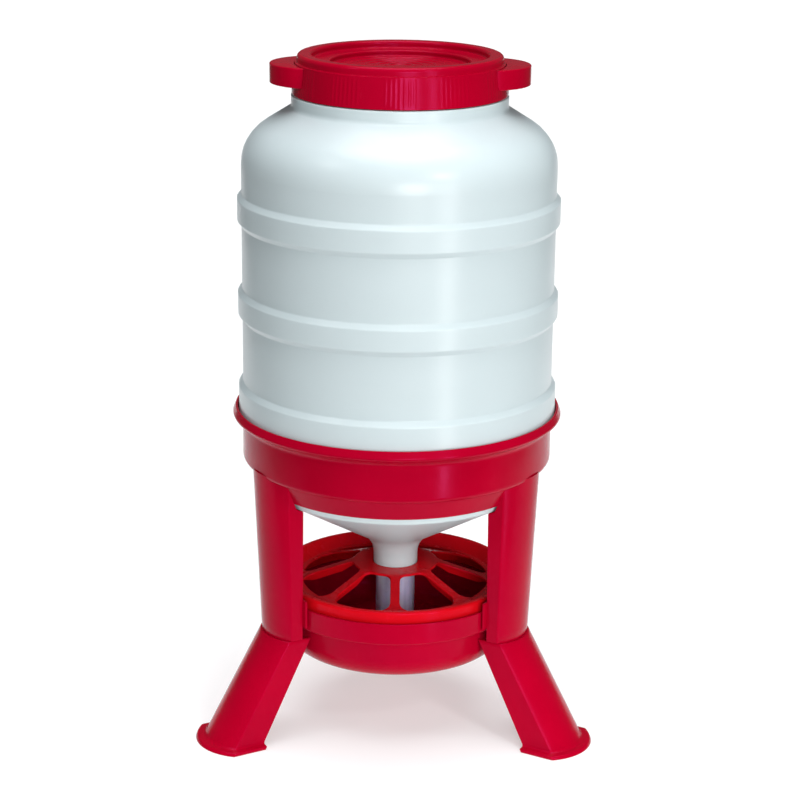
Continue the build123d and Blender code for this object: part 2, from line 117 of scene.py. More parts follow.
# Lid
LID_WALL = 2.6
LID_BOTTOM = 810.4
LID_BOTTOM_R = 132.5
LID_STEP_Z = 848.0
LID_STEP_R = 128.5
LID_STEP_RISE = 0.6
LID_BAND_STEPS = 6
LID_LIP_EDGE = 0.5
LID_RIM_R = 126.0
LID_TOP = 858.5
LID_WELL_R = 108.0
LID_LEDGE_Z = 850.0
LID_DISC_R = 85.0
LID_DISC_Z = 843.0
LID_RIM_FILLET = 8
LID_RIM_INNER_FILLET = 4.5
LID_WELL_FILLET = 2.5
LID_RING_FILLET = 0.8
LID_RING_RADII = (72.0, 58.0, 44.0, 30.0, 16.0)
LID_RING_WIDTH = 4.0
LID_RING_HEIGHT = 1.0
GRIP_ZONE = (814.0, 843.0)
GRIP_GROUPS = 12
GRIP_RIBS = 7
GRIP_RIB_PITCH = 2.5
GRIP_RIB_HEIGHT = 0.45
EAR_R = 60.0
EAR_CENTRE = 99.5
EAR_BOTTOM = 822.5
EAR_TOP = 846.5
EAR_WALL = 3.0
EAR_ROOF = 3.01
EAR_ROOT_R = 129.5
EAR_TOP_EDGE = 1.6
EAR_LIP_EDGE = 0.5
EAR_ARC_STEPS = 48
EAR_ROOT_STEPS = 24
GASKET_RADII = (112.6, 121.0)
GASKET_BOTTOM = 850.8
GASKET_TOP = 854.0
GASKET_EDGE = 0.6
GASKET_BEAD_HALF_WIDTH = 1.5
GASKET_BEAD_HEIGHT = 0.5
GASKET_BEAD_FILLETS = (0.3, 0.5)

# Collar ring
COLLAR_WALL = 3.2
COLLAR_OUTLINE = [
    (174.2, 318.5, 0),
    (184.5, 344.0, 1.5),
    (195.8, 346.5, 10),
    (195.8, 396.5, 7),
    (208.8, 405.5, 3.5),
    (204.4, 416.0, 0),
]
COLLAR_BOSS_A = 180.0
COLLAR_BOSS_BOTTOM = 308.0
COLLAR_BOSS_TOP = 334.0
COLLAR_EDGE = 1.2

# Legs: a section is an arc about a centre (distance from the axis), and two flanks
LEG_ARC_R = 56.0
LEG_WALL = 3.0
LEG_EDGE_FILLET = 3.2
LEG_INNER_FILLET = 1.0
LEG_PLATE_FILLET = 1.5
LEG_END_EDGE = 0.9
LEG_END_EDGE_MIDDLE = (0.3, 0.25)
UPRIGHT_END_SLOPE = 0.8
LEG_BACK_A = 156.5
UPRIGHT_BOTTOM = 134.5
UPRIGHT_TOP = 352.0
UPRIGHT_RING_STEP = 12
UPRIGHT_RING_COUNT = 15
UPRIGHT_TOP_GAP = 1.0
UPRIGHT_LIP_OVERLAP = 0.6
UPRIGHT_SKIRT_OVERLAP = 0.4
UPRIGHT_CENTRES = (131.4, 142.0)
UPRIGHT_HALF_WIDTHS = (39.2, 43.3)
UPRIGHT_WEBS = [(144.5, 148.5), (304.0, 308.0)]
FOOT_TOP = 134.5
FOOT_CENTRES = (216.0, 133.6)
FOOT_HALF_WIDTHS = (40.0, 38.4)
FOOT_BACKS = (215.0, 144.5)
FOOT_WALL = 3.5
FOOT_PLATE = 4.0
FOOT_PLATE_BACK = 151.0
FOOT_RIM_WIDTH = 10.0
FOOT_RIM_HEIGHT = 4.5
FOOT_RIM_COVE = 3.4
FOOT_RIM_COVE_RISE = 0.1
FOOT_RINGS_START = 20.0
FOOT_RING_STEP = 15.5
FOOT_RING_COUNT = 8
FOOT_PLATE_SINK = 0.05
TONGUE_BOTTOM = 134.0
TONGUE_TOP = 144.1
TONGUE_INSET = 3.4
TONGUE_WALL = 2.8
TONGUE_BACK_A = 160.0
BOSS_R = 6.5
BOSS_EDGE = 0.6
BOSS_B = 18.0
FOOT_BOSS_A = 169.5
FOOT_BOSS_TOP = 157.0
SCREW_HOLE_R = 2.8

# Pan
PAN_WALL = 3.0
PAN_OUTLINE = [
    (0.0, 112.0, 0),
    (9.0, 112.0, 5),
    (40.0, 93.0, 12),
    (144.5, 93.0, 38),
    (148.5, 147.5, 1.5),
    (158.0, 147.5, 2),
    (158.0, 175.0, 0),
]
PAN_EDGE = 1.0
PAN_FLAT_A = 155.9
LUG_HALF_WIDTH = 47.5
LUG_INNER_A = 153.5
LUG_EDGE = 1.0
SLAB_EDGE_SHARE = 0.3
LUG_HEIGHTS = (152.5, 188.0)

# Grille
GRILLE_WALL = 3.0
GRILLE_OUTLINE = [
    (151.6, 151.0, 0),
    (151.6, 188.5, 3.5),
    (144.0, 188.5, 4),
    (127.0, 176.5, 6),
    (55.0, 201.0, 10),
    (29.2, 201.0, 0),
]
SPOKE_COUNT = 8
SPOKE_WIDTH = 12.0
OPENING_RADII = (55.0, 120.5)
OPENING_CORNERS = (10.0, 14.0)
OPENING_ARC_STEPS = (4, 10)
OPENING_FILLET_STEP = 9.0
OPENING_EDGE = 1.3
OPENING_EDGE_STEPS = 4
OPENING_SUPPORTS = (2.2, 1.15)
OPENING_BREAK = 0.5
OPENING_RAY_CENTRE = (93.75, 0.0)
SPOKE_CELL_RADII = (46.0, 128.5)
SPOKE_CELL_STEPS = (24, 18)
PLATE_LIMITS = (143.0, 139.0)
SPOKE_RIB_WIDTH = 2.4
SPOKE_RIB_DEPTH = 9.0
SPOKE_RIB_RADII = (50.0, 125.0)
SPOKE_RIB_STEPS = 8
SPOKE_RIB_SINK = 1.0
SPOKE_RIB_END_DEPTH = 0.25
SPOKE_RIB_DEEPENING = 0.4
SPOKE_RIB_TAPER = 0.6

# Feed tube
TUBE_R = 25.3
TUBE_WALL = 1.9
TUBE_BOTTOM = 126.0
TUBE_TOP = 226.0
TUBE_EDGE = 0.8

# Reds and their gloss, as linear colours
DEEP_RED = (0.40, 0.0, 0.016)
BRIGHT_RED = (0.62, 0.003, 0.008)
SHEEN = (1.0, 0.14, 0.6, 1)

# Colour sockets of Blender's Mix node
MIX_COLOUR_A = 6
MIX_COLOUR_B = 7
MIX_COLOUR_RESULT = 2

# Stage, in metres: the floor's front and back edge as half width and place along Y
FLOOR_FRONT = (1.1, -0.45)
FLOOR_BACK = (3.4, 10.0)
CAMERA_PLACE = (0.0038, -2.7, 1.2393)
CAMERA_LENS = 99.79
CAMERA_SENSOR = 36.0
CAMERA_PITCH = 0.29532
CAMERA_ROLL = 0.0105

# Surround: axis of the view direction, the range it runs over, and the strengths at its ends
SURROUND = [("Y", (-0.98, -0.35, 0.55, 0.09)), ("Z", (0.87, 0.93, 0.0, 5.2))]
SURROUND_COLOUR = (0.97, 0.98, 1.0, 1)

# Lamps: name, azimuth, elevation, distance, size, power and height of the point they face.
# Azimuth 0 is the front, and positive is to the right.
SOFTBOXES = [
    ("key", 32, 28, 2.6, (0.26, 0.26), 10, 0.72),
    ("strip", 34, 0, 2.4, (0.2, 1.9), 17, 0.3),
    ("front", 10, 8, 3.2, (1.0, 1.0), 40, 0.45),
    ("left", -60, 42, 2.6, (0.3, 0.3), 5, 0.72),
]


# ---------------------------------------------------------------- outlines

def blend(ends, share):
    """Value at a share of the way between two ends."""
    return ends[0] + share * (ends[1] - ends[0])


def meet(p, u, q, v):
    """Point where the line through p along u crosses the line through q along v."""
    cross = u[0] * v[1] - u[1] * v[0]
    t = ((q[0] - p[0]) * v[1] - (q[1] - p[1]) * v[0]) / cross
    return p[0] + t * u[0], p[1] + t * u[1]


def inset(path, wall):
    """Corners of the same open path, moved by wall to its left, with concentric fillets."""
    runs = []
    for (r0, z0, _), (r1, z1, _) in zip(path, path[1:]):
        length = hypot(r1 - r0, z1 - z0)
        along = ((r1 - r0) / length, (z1 - z0) / length)
        side = (-along[1] * wall, along[0] * wall)
        runs.append(((r0 + side[0], z0 + side[1]), (r1 + side[0], z1 + side[1]), along))
    corners = [(*runs[0][0], 0)]
    for before, after, (_, _, fillet_r) in zip(runs, runs[1:], path[1:]):
        u, v = before[2], after[2]
        left_turn = u[0] * v[1] - u[1] * v[0] > 0
        radius = fillet_r - wall if left_turn else fillet_r + wall
        corners.append((*meet(before[0], u, after[0], v), max(radius, 0)))
    corners.append((*runs[-1][1], 0))
    return corners


def corner_points(before, corner, after, radius, step=FILLET_STEP):
    """Points of one rounded corner, with a point just outside each end of its arc."""
    b = Vector(corner)
    u, v = Vector(before) - b, Vector(after) - b
    reach_u, reach_v = u.length, v.length
    u.normalize()
    v.normalize()
    half = acos(max(-1.0, min(1.0, u.dot(v)))) / 2
    if radius <= 0 or half > radians(FILLET_FLATTEST):
        return [tuple(b)]
    cut = min(radius / tan(half), FILLET_MAX_SHARE * reach_u, FILLET_MAX_SHARE * reach_v)
    radius = cut * tan(half)
    centre = b + (u + v).normalized() * (radius / sin(half))
    start, end = b + u * cut - centre, b + v * cut - centre
    turn = pi - 2 * half
    side = 1 if start.x * end.y - start.y * end.x > 0 else -1
    count = max(FILLET_MIN_STEPS, ceil(degrees(turn) / step))
    arc = []
    for k in range(count + 1):
        angle = side * turn * k / count
        arc.append(centre + Matrix.Rotation(angle, 2) @ start)
    lead = min(FILLET_LEAD, FILLET_LEAD_SHARE * cut)
    return [tuple(b + u * (cut + lead)), *(tuple(p) for p in arc), tuple(b + v * (cut + lead))]


def rounded(corners, closed):
    """Corners (x, y, fillet radius) as points with their fillets drawn."""
    count = len(corners)
    points = []
    for k, (x, y, fillet_r) in enumerate(corners):
        if not closed and k in (0, count - 1):
            points.append((x, y))
            continue
        before, after = corners[k - 1][:2], corners[(k + 1) % count][:2]
        points += corner_points(before, (x, y), after, fillet_r)
    return points


def shell_outline(path, wall, edge=0.0):
    """Closed outline of a wall between an open path and the same path moved to its left."""
    other = inset(path, wall)[::-1]
    ends = [(x, y, edge) for x, y, _ in (path[0], path[-1], other[0], other[-1])]
    start, stop, other_start, other_stop = ends
    if path[0][0] == 0:
        start, other_stop = path[0], other[-1]
    if path[-1][0] == 0:
        stop, other_start = path[-1], other[0]
    return rounded([start, *path[1:-1], stop, other_start, *other[1:-1], other_stop], True)


# ---------------------------------------------------------------- mesh building

class Surface:
    """Points in millimetres and faces, collected for one piece."""

    def __init__(self):
        self.points = []
        self.faces = []

    def loft(self, rings, wrap_rings=False, caps=False):
        """Skin over closed rings of equally many points; caps close the first and last ring."""
        base, size = len(self.points), len(rings[0])
        for ring in rings:
            self.points += ring
        spans = len(rings) if wrap_rings else len(rings) - 1
        for k in range(spans):
            low = base + k * size
            high = base + (k + 1) % len(rings) * size
            for i in range(size):
                j = (i + 1) % size
                self.faces.append((low + i, low + j, high + j, high + i))
        if caps:
            self.faces.append(tuple(base + i for i in reversed(range(size))))
            last = base + (len(rings) - 1) * size
            self.faces.append(tuple(last + i for i in range(size)))

    def turn(self, outline, angles, radius_at=None):
        """Closed outline of (radius, height) turned about Z through the given angles."""
        rings = []
        for angle in angles:
            ring = []
            for r, z in outline:
                if radius_at:
                    r = radius_at(r, z, angle)
                ring.append((r * cos(angle), r * sin(angle), z))
            rings.append(ring)
        self.loft(rings, wrap_rings=True)

    def spin(self, angle, first=0):
        """Turn the points from index first on about the axis."""
        c, s = cos(angle), sin(angle)
        for k in range(first, len(self.points)):
            x, y, z = self.points[k]
            self.points[k] = (x * c - y * s, x * s + y * c, z)

    def turn_leg(self, name, first=0):
        """Turn the points from index first on, made along +X, to the leg of that name."""
        self.spin(radians(LEG_ANGLES[name]), first)

    def piece(self, name, body, slot, material, *nodes):
        """Mesh object of the surface, riding on a body in place of its CAD nodes."""
        mesh = bpy.data.meshes.new(name)
        scaled = [(x * MM, y * MM, z * MM) for x, y, z in self.points]
        mesh.from_pydata(scaled, [], self.faces)
        work = bmesh.new()
        work.from_mesh(mesh)
        bmesh.ops.remove_doubles(work, verts=work.verts, dist=MERGE_DISTANCE)
        bmesh.ops.recalc_face_normals(work, faces=work.faces)
        work.to_mesh(mesh)
        work.free()
        mesh.polygons.foreach_set("use_smooth", [True] * len(mesh.polygons))
        mesh.set_sharp_from_angle(angle=radians(SHARP_ANGLE))
        mesh.materials.append(material)
        piece = bpy.data.objects.new(name, mesh)
        bpy.context.scene.collection.objects.link(piece)
        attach(piece, body)
        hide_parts(*nodes)


def even_angles(count):
    """Angles of a full turn in equal steps."""
    return [2 * pi * k / count for k in range(count)]


def seam_angles(count):
    """Equal steps, with extra ones where the drum's parting line runs up its two sides."""
    found = even_angles(count)
    for side in (0, pi):
        for off in SEAM_OFFSETS:
            found += [(side + radians(off)) % (2 * pi), (side - radians(off)) % (2 * pi)]
    return sorted(set(found))


def post(surface, a, b, low, high, hole=0.0):
    """Upright boss with a rounded top edge, solid or with a hole."""
    outline = [(hole, low, 0), (BOSS_R, low, 0), (BOSS_R, high, BOSS_EDGE), (hole, high, 0)]
    first = len(surface.points)
    surface.turn(rounded(outline, True), even_angles(BOSS_STEPS))
    for k in range(first, len(surface.points)):
        x, y, z = surface.points[k]
        surface.points[k] = (x + a, y + b, z)


def slab(surface, a, b, z, edge):
    """Plate between limits along each axis, with rounded edges."""
    cut = SLAB_EDGE_SHARE * edge
    profile = [(a[0], edge), (a[0] + cut, cut), (a[0] + edge, 0)]
    profile += [(a[1] - edge, 0), (a[1] - cut, cut), (a[1], edge)]
    loops = []
    for at, shrink in profile:
        corners = [
            (b[0] + shrink, z[0] + shrink, edge),
            (b[1] - shrink, z[0] + shrink, edge),
            (b[1] - shrink, z[1] - shrink, edge),
            (b[0] + shrink, z[1] - shrink, edge),
        ]
        loops.append([(at, y, h) for y, h in rounded(corners, True)])
    surface.loft(loops, caps=True)


# ---------------------------------------------------------------- materials

def tint(colour, factor):
    """Colour made lighter or darker, as linear RGBA."""
    return (*(min(1.0, c * factor) for c in colour), 1.0)


class Shader:
    """A Principled material built up from procedural nodes in the piece's own coordinates."""

    def __init__(self, name, roughness, **fixed):
        self.material = bpy.data.materials.new(name)
        self.material.use_nodes = True
        self.tree = self.material.node_tree
        self.surface = self.tree.nodes["Principled BSDF"]
        self.surface.inputs["Roughness"].default_value = roughness
        for socket, value in fixed.items():
            self.surface.inputs[socket.replace("_", " ")].default_value = value
        self.place = self.node("ShaderNodeTexCoord").outputs["Object"]
        self.height = None

    def node(self, kind, **settings):
        made = self.tree.nodes.new(kind)
        for key, value in settings.items():
            setattr(made, key, value)
        return made

    def link(self, output, socket):
        self.tree.links.new(output, socket)

    def stretched(self, scale):
        """The piece's coordinates, scaled along each axis."""
        mapping = self.node("ShaderNodeMapping")
        mapping.inputs["Scale"].default_value = scale
        self.link(self.place, mapping.inputs["Vector"])
        return mapping.outputs["Vector"]

    def noise(self, scale, detail, stretch=(1, 1, 1)):
        """Noise over the piece's coordinates, which stretch scales along each axis."""
        made = self.node("ShaderNodeTexNoise")
        made.inputs["Scale"].default_value = scale
        made.inputs["Detail"].default_value = detail
        self.link(self.stretched(stretch), made.inputs["Vector"])
        return made.outputs["Fac"]

    def spread(self, value, low, high, to_low=0.0, to_high=1.0):
        """Value mapped from one range to another, held at its ends."""
        made = self.node("ShaderNodeMapRange")
        made.clamp = True
        for socket, number in (
            ("From Min", low), ("From Max", high), ("To Min", to_low), ("To Max", to_high)
        ):
            made.inputs[socket].default_value = number
        self.link(value, made.inputs["Value"])
        return made.outputs["Result"]

    def mix(self, share, first, second):
        """Colour between two colours or outputs."""
        made = self.node("ShaderNodeMix", data_type="RGBA")
        self.link(share, made.inputs["Factor"])
        colours = made.inputs[MIX_COLOUR_A], made.inputs[MIX_COLOUR_B]
        for socket, value in zip(colours, (first, second)):
            if isinstance(value, tuple):
                socket.default_value = value
            else:
                self.link(value, socket)
        return made.outputs[MIX_COLOUR_RESULT]

    def bump(self, value, distance, strength):
        """Adds a bump, its distance in millimetres, on top of those before it."""
        made = self.node("ShaderNodeBump")
        made.inputs["Strength"].default_value = strength
        made.inputs["Distance"].default_value = distance * MM
        self.link(value, made.inputs["Height"])
        if self.height is not None:
            self.link(self.height, made.inputs["Normal"])
        self.height = made.outputs["Normal"]
        self.link(self.height, self.surface.inputs["Normal"])


def moulded_plastic(name, colour, roughness, streak):
    """Glossy injection-moulded plastic: flow streaks, fine grain and faint handling marks."""
    shader = Shader(name, roughness)
    shader.surface.inputs["Specular IOR Level"].default_value = 0.14
    shader.surface.inputs["Specular Tint"].default_value = SHEEN
    clouds = shader.spread(shader.noise(9.0, 2.0), 0.3, 0.7)
    colour_node = shader.mix(clouds, tint(colour, 0.93), tint(colour, 1.06))
    flow = shader.spread(shader.noise(30.0, 2.0, (1, 1, streak)), 0.35, 0.8, 0.0, 0.35)
    colour_node = shader.mix(flow, colour_node, tint(colour, 0.86))
    marks = shader.spread(shader.noise(420.0, 1.0, (1, 1, 0.12)), 0.62, 0.85, 0.0, 0.2)
    colour_node = shader.mix(marks, colour_node, tint((colour[0], 0.01, 0.03), 1.1))
    shader.link(colour_node, shader.surface.inputs["Base Color"])
    gloss = shader.spread(shader.noise(40.0, 1.0), 0.3, 0.7, roughness - 0.03, roughness + 0.04)
    shader.link(gloss, shader.surface.inputs["Roughness"])
    shader.bump(shader.noise(1400.0, 2.0), 0.03, 0.35)
    shader.bump(shader.noise(26.0, 2.0), 0.12, 0.2)
    return shader.material


def natural_plastic():
    """Natural polyethylene: milky, faintly blue, with soft flow lines and scuffs."""
    colour = (0.60, 0.71, 0.73)
    shader = Shader("natural_plastic", 0.34, Subsurface_Weight=0.25, Subsurface_Scale=0.02)
    shader.surface.inputs["Subsurface Radius"].default_value = (0.9, 1.0, 1.0)
    shader.surface.inputs["Specular IOR Level"].default_value = 0.5
    clouds = shader.spread(shader.noise(5.0, 1.0), 0.1, 0.9)
    colour_node = shader.mix(clouds, tint(colour, 0.97), tint(colour, 1.03))
    flow = shader.spread(shader.noise(10.0, 1.0, (1, 1, 3)), 0.2, 0.9, 0.0, 0.3)
    colour_node = shader.mix(flow, colour_node, tint(colour, 0.93))
    specks = shader.spread(shader.noise(240.0, 1.0, (1, 1, 0.5)), 0.68, 0.85, 0.0, 0.12)
    colour_node = shader.mix(specks, colour_node, (0.52, 0.60, 0.60, 1))
    shader.link(colour_node, shader.surface.inputs["Base Color"])
    gloss = shader.spread(shader.noise(10.0, 1.0, (1, 1, 2)), 0.1, 0.9, 0.28, 0.34)
    shader.link(gloss, shader.surface.inputs["Roughness"])
    shader.bump(shader.noise(900.0, 2.0), 0.03, 0.3)
    shader.bump(shader.noise(9.0, 0.0, (1, 1, 2.0)), 0.6, 0.15)
    return shader.material


def tube_plastic():
    """Clear-grey plastic of the feed tube, with faint lengthwise lines."""
    shader = Shader("tube_plastic", 0.22, Subsurface_Weight=0.3, Subsurface_Scale=0.006)
    lines = shader.spread(shader.noise(160.0, 2.0, (1, 1, 0.05)), 0.35, 0.65)
    colour_node = shader.mix(lines, (0.52, 0.47, 0.68, 1), (0.70, 0.65, 0.86, 1))
    shader.link(colour_node, shader.surface.inputs["Base Color"])
    haze = shader.spread(shader.noise(40.0, 3.0), 0.3, 0.7, 0.16, 0.3)
    shader.link(haze, shader.surface.inputs["Roughness"])
    shader.bump(shader.noise(300.0, 2.0, (1, 1, 0.1)), 0.05, 0.4)
    return shader.material


def seal_rubber():
    """Soft black rubber with a powdery bloom."""
    shader = Shader("seal_rubber", 0.6)
    bloom = shader.spread(shader.noise(220.0, 4.0), 0.4, 0.75)
    colour_node = shader.mix(bloom, (0.018, 0.018, 0.02, 1), (0.05, 0.05, 0.052, 1))
    shader.link(colour_node, shader.surface.inputs["Base Color"])
    shader.bump(shader.noise(1500.0, 2.0), 0.05, 0.4)
    return shader.material


def screw_steel():
    """Stainless steel with turning marks."""
    shader = Shader("screw_steel", 0.3, Metallic=1.0)
    marks = shader.spread(shader.noise(900.0, 2.0, (1, 1, 0.2)), 0.3, 0.7)
    colour_node = shader.mix(marks, (0.50, 0.50, 0.49, 1), (0.66, 0.66, 0.64, 1))
    shader.link(colour_node, shader.surface.inputs["Base Color"])
    shader.link(shader.spread(marks, 0, 1, 0.24, 0.4), shader.surface.inputs["Roughness"])
    return shader.material


def floor_material():
    """Matt white studio floor."""
    shader = Shader("floor_white", 0.75)
    mottle = shader.spread(shader.noise(1.5, 3.0), 0.3, 0.7)
    colour_node = shader.mix(mottle, (0.53, 0.53, 0.53, 1), (0.55, 0.55, 0.55, 1))
    shader.link(colour_node, shader.surface.inputs["Base Color"])
    shader.surface.inputs["Specular IOR Level"].default_value = 0.1
    shader.surface.inputs["Emission Color"].default_value = (1, 1, 1, 1)
    shader.surface.inputs["Emission Strength"].default_value = 0.48
    return shader.material


RED = moulded_plastic("red_plastic", DEEP_RED, 0.2, 0.25)
GRILLE_RED = moulded_plastic("grille_plastic", BRIGHT_RED, 0.25, 0.6)
NATURAL = natural_plastic()
TUBE = tube_plastic()
RUBBER = seal_rubber()
STEEL = screw_steel()


# ---------------------------------------------------------------- drum

def cone_z(radius):
    """Height of the drum's conical bottom at a radius."""
    return CONE_APEX_Z + radius * tan(radians(CONE_SLOPE))


def drum_outline():
    """Outer path of the drum, from the spout's end up to the neck's lip."""
    seat = inset(COLLAR_OUTLINE, COLLAR_WALL + SEAT_GAP)
    seat_run = (seat[1][0] - seat[0][0], seat[1][1] - seat[0][1])
    seat_low = meet(seat[0], seat_run, (0, CONE_APEX_Z), (1, tan(radians(CONE_SLOPE))))
    seat_high = meet(seat[0], seat_run, (DRUM_NEST_R, 0), (0, 1))
    shoulder_drop = (DRUM_R - BEAD_R) * tan(radians(SHOULDER_SLOPE))
    path = [
        (SPOUT_R, SPOUT_BOTTOM, 0),
        (SPOUT_R, cone_z(SPOUT_R), SPOUT_FLARE_R),
        (*seat_low, SEAT_FILLETS[0]),
        (*seat_high, SEAT_FILLETS[1]),
        (DRUM_NEST_R, NEST_TOP, BAND_FILLET),
        (BAND_R, NEST_TOP + BAND_R - DRUM_NEST_R, BAND_FILLET),
        (BAND_R, LOW_BAND_TOP - BAND_EDGE, BAND_FILLET),
        (DRUM_R, LOW_BAND_TOP, BAND_FILLET),
    ]
    for low, high in RAISED_BANDS:
        path += [
            (DRUM_R, low, BAND_FILLET),
            (BAND_R, low + BAND_EDGE, BAND_FILLET),
            (BAND_R, high - BAND_EDGE, BAND_FILLET),
            (DRUM_R, high, BAND_FILLET),
        ]
    return path + [
        (DRUM_R, SHOULDER_CORNER_Z, SHOULDER_R),
        (BEAD_R, SHOULDER_CORNER_Z + shoulder_drop, BEAD_FILLETS[0]),
        (BEAD_R, BEAD_TOP, BEAD_FILLETS[1]),
        (NECK_R, BEAD_TOP, BEAD_FILLETS[1]),
        (NECK_R, NECK_TOP, 0),
    ]


def seam_radius(r, z, angle):
    """Radius with the mould's parting line standing proud at the drum's two sides."""
    off = abs(sin(angle)) * r
    return r + SEAM_HEIGHT * exp(-((off / SEAM_HALF_WIDTH) ** 2))


def thread_ridge(surface, root_r, crest_r, z_start, turns, first_turn):
    """Right-hand ridge that climbs round the axis and tapers at both ends."""
    steps = int(turns * THREAD_STEPS)
    rings = []
    for k in range(steps + 1):
        turn = first_turn + turns * k / steps
        fade = min(1.0, THREAD_FADE + THREAD_FADE * min(k, steps - k))
        half_root = THREAD_ROOT_WIDTH / 2 * fade
        half_crest = THREAD_CREST_WIDTH / 2 * fade
        crest = root_r + (crest_r - root_r) * fade
        centre = z_start + THREAD_PITCH * turn
        angle = 2 * pi * turn
        section = [(root_r, -half_root), (crest, -half_crest)]
        section += [(crest, half_crest), (root_r, half_root)]
        rings.append([(r * cos(angle), r * sin(angle), centre + z) for r, z in section])
    surface.loft(rings, caps=True)


def make_hopper():
    """Blow-moulded drum with its cone, spout and threaded neck."""
    surface = Surface()
    outline = shell_outline(drum_outline(), DRUM_WALL, DRUM_LIP_EDGE)
    surface.turn(outline, seam_angles(BODY_STEPS), seam_radius)
    root = NECK_R - THREAD_SINK
    thread_ridge(surface, root, NECK_THREAD_CREST_R, THREAD_START_Z, NECK_THREAD_TURNS, 0)
    surface.piece("drum_shell", "drum", "natural_plastic", NATURAL, "hopper")


# ---------------------------------------------------------------- lid

def lid_outline():
    """Outer path of the lid, from the skirt's edge over the rim to the ringed centre."""
    path = [
        (LID_BOTTOM_R, LID_BOTTOM, 0),
        (LID_STEP_R, LID_STEP_Z, LID_STEP_RISE),
        (LID_RIM_R, LID_STEP_Z + LID_STEP_RISE, LID_STEP_RISE),
        (LID_RIM_R, LID_TOP, LID_RIM_FILLET),
        (LID_WELL_R, LID_TOP, LID_RIM_INNER_FILLET),
        (LID_WELL_R, LID_LEDGE_Z, LID_WELL_FILLET),
        (LID_DISC_R, LID_LEDGE_Z, LID_WELL_FILLET),
        (LID_DISC_R, LID_DISC_Z, LID_WELL_FILLET),
    ]
    for radius in LID_RING_RADII:
        outer, inner = radius + LID_RING_WIDTH / 2, radius - LID_RING_WIDTH / 2
        path += [
            (outer + LID_RING_HEIGHT, LID_DISC_Z, LID_RING_FILLET),
            (outer, LID_DISC_Z + LID_RING_HEIGHT, LID_RING_FILLET),
            (inner, LID_DISC_Z + LID_RING_HEIGHT, LID_RING_FILLET),
            (inner - LID_RING_HEIGHT, LID_DISC_Z, LID_RING_FILLET),
        ]
    return path + [(0, LID_DISC_Z, 0)]


def grip_radius(r, z, angle):
    """Radius with groups of fine upright grip ribs round the lid's band."""
    if not GRIP_ZONE[0] < z < GRIP_ZONE[1] or r < LID_RIM_R:
        return r
    pitch = 360 / GRIP_GROUPS
    place = (degrees(angle) + pitch / 2) % pitch - pitch / 2
    if abs(place) > GRIP_RIB_PITCH * GRIP_RIBS / 2:
        return r
    wave = cos(2 * pi * place / GRIP_RIB_PITCH)
    return r + GRIP_RIB_HEIGHT * max(0.0, wave)


def lid_ear(surface, side):
    """Hollow grip ear with rounded edges, joined to the lid's band."""
    half = acos((EAR_CENTRE**2 + EAR_R**2 - EAR_ROOT_R**2) / (2 * EAR_CENTRE * EAR_R))
    reach = pi - half

    def loop(shrink, z):
        """Ring of the ear's outline, drawn in from its outer face, at a height."""
        outer_r = EAR_R - shrink
        root = EAR_ROOT_R + (shrink if shrink >= EAR_WALL else 0)
        points = []
        for k in range(EAR_ARC_STEPS + 1):
            angle = -reach + 2 * reach * k / EAR_ARC_STEPS
            points.append((EAR_CENTRE + outer_r * cos(angle), outer_r * sin(angle), z))
        last = atan2(points[-1][1], points[-1][0])
        for k in range(1, EAR_ROOT_STEPS):
            angle = last - 2 * last * k / EAR_ROOT_STEPS
            points.append((root * cos(angle), root * sin(angle), z))
        return [(side * x, side * y, h) for x, y, h in points]

    lip = EAR_BOTTOM + EAR_LIP_EDGE
    rings = [
        loop(EAR_WALL, EAR_TOP - EAR_ROOF),
        loop(EAR_WALL, lip),
        loop(EAR_WALL - EAR_LIP_EDGE, EAR_BOTTOM),
        loop(EAR_LIP_EDGE, EAR_BOTTOM),
        loop(0, lip),
    ]
    for k in range(EDGE_STEPS + 1):
        angle = pi / 2 * k / EDGE_STEPS
        drop = EAR_TOP_EDGE * (1 - sin(angle))
        rings.append(loop(EAR_TOP_EDGE * (1 - cos(angle)), EAR_TOP - drop))
    surface.loft(rings, caps=True)


def make_lid():
    """Screw lid: ribbed band, rounded rim, ringed sunk centre, ears and inside thread."""
    surface = Surface()
    bottom, *rest = lid_outline()
    band_radii, band_heights = zip(bottom[:2], rest[0][:2])
    shares = [k / LID_BAND_STEPS for k in range(1, LID_BAND_STEPS)]
    supports = [(blend(band_radii, share), blend(band_heights, share), 0) for share in shares]
    outline = shell_outline([bottom, *supports, *rest], LID_WALL, LID_LIP_EDGE)
    surface.turn(outline, even_angles(GRIP_STEPS), grip_radius)
    for side in (-1, 1):
        lid_ear(surface, side)
    start = THREAD_START_Z - THREAD_AXIAL_SHIFT
    crest = LID_THREAD_CREST_R
    thread_ridge(surface, LID_THREAD_ROOT_R, crest, start, LID_THREAD_TURNS, LID_THREAD_FIRST_TURN)
    surface.piece("lid_cap", "lid", "red_plastic", RED, "lid")


def make_gasket():
    """Flat seal ring with a raised bead along its middle."""
    surface = Surface()
    low, high = GASKET_RADII
    middle = (low + high) / 2
    flat_top = GASKET_TOP - GASKET_BEAD_HEIGHT
    corners = [
        (low, GASKET_BOTTOM, GASKET_EDGE),
        (high, GASKET_BOTTOM, GASKET_EDGE),
        (high, flat_top, GASKET_EDGE),
        (middle + GASKET_BEAD_HALF_WIDTH, flat_top, GASKET_BEAD_FILLETS[0]),
        (middle, GASKET_TOP, GASKET_BEAD_FILLETS[1]),
        (middle - GASKET_BEAD_HALF_WIDTH, flat_top, GASKET_BEAD_FILLETS[0]),
        (low, flat_top, GASKET_EDGE),
    ]
    surface.turn(rounded(corners, True), even_angles(GASKET_STEPS))
    surface.piece("lid_seal", "seal", "seal_rubber", RUBBER, "lid_gasket")


# ---------------------------------------------------------------- collar

